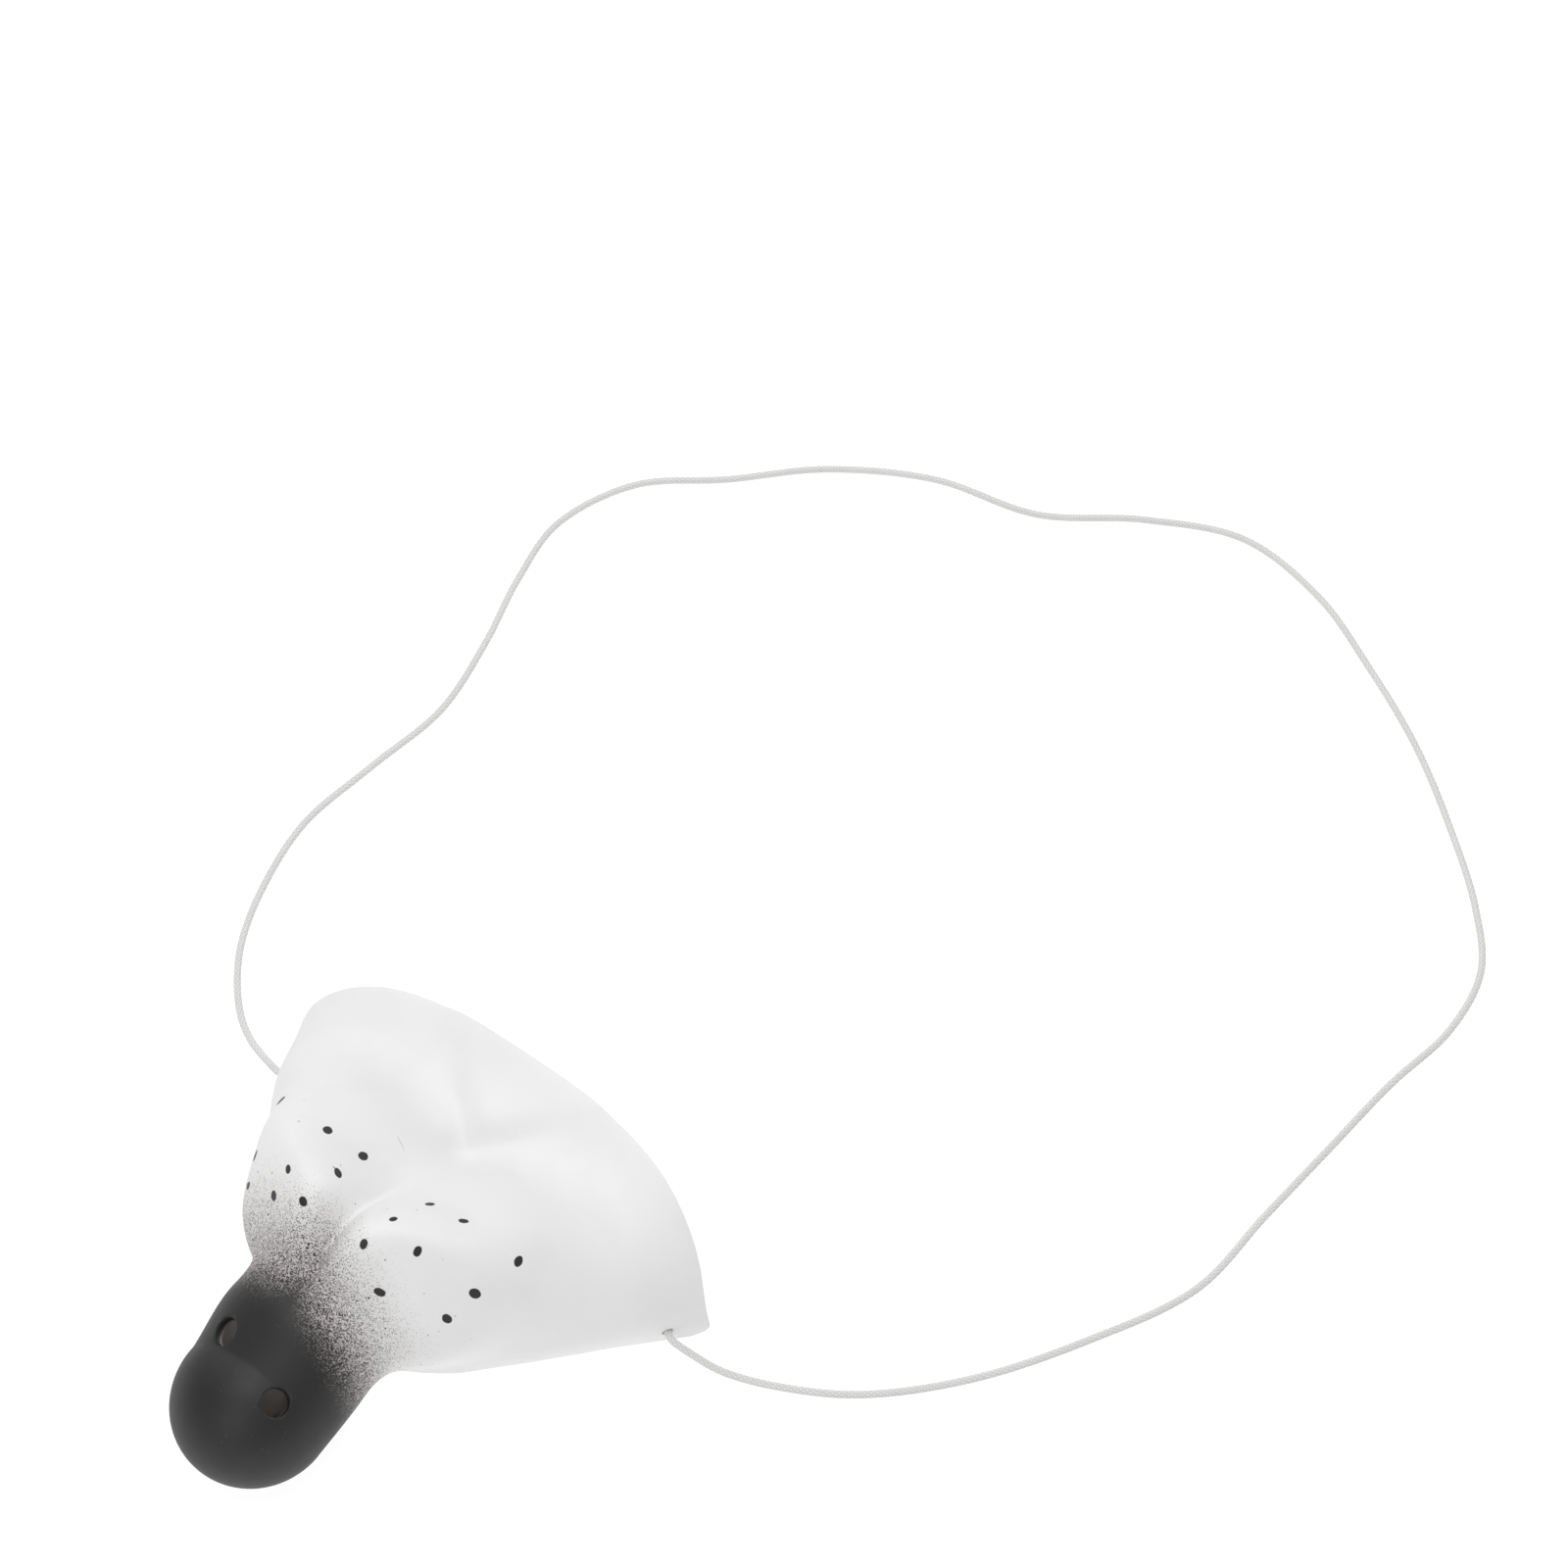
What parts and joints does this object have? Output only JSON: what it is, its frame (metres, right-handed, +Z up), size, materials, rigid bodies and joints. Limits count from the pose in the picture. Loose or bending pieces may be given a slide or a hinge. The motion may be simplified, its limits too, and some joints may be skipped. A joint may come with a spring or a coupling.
{
  "type": "fake mouse nose",
  "caption": "Thin hollow half-cone nose cover with whisker pads, a long rounded hollow snout with nostril holes, and a thin elastic loop knotted at its rear corners.",
  "frame": {"origin": "on the surface that the shell stands on, under the middle of the shell without its elastic", "axes": "+Z up with the shell standing on its lower edges, snout towards -Y, open rear towards +Y, left and right as seen from in front of the snout: left is -X"},
  "size_m": [0.2249, 0.3085, 0.0474],
  "materials": {
    "shell": "satin",
    "elastic": "matte"
  },
  "bodies": {
    "root": {"muzzle_shell": "shell", "elastic_cord": "elastic", "knot_left": "elastic", "knot_right": "elastic"}
  },
  "joints": []
}
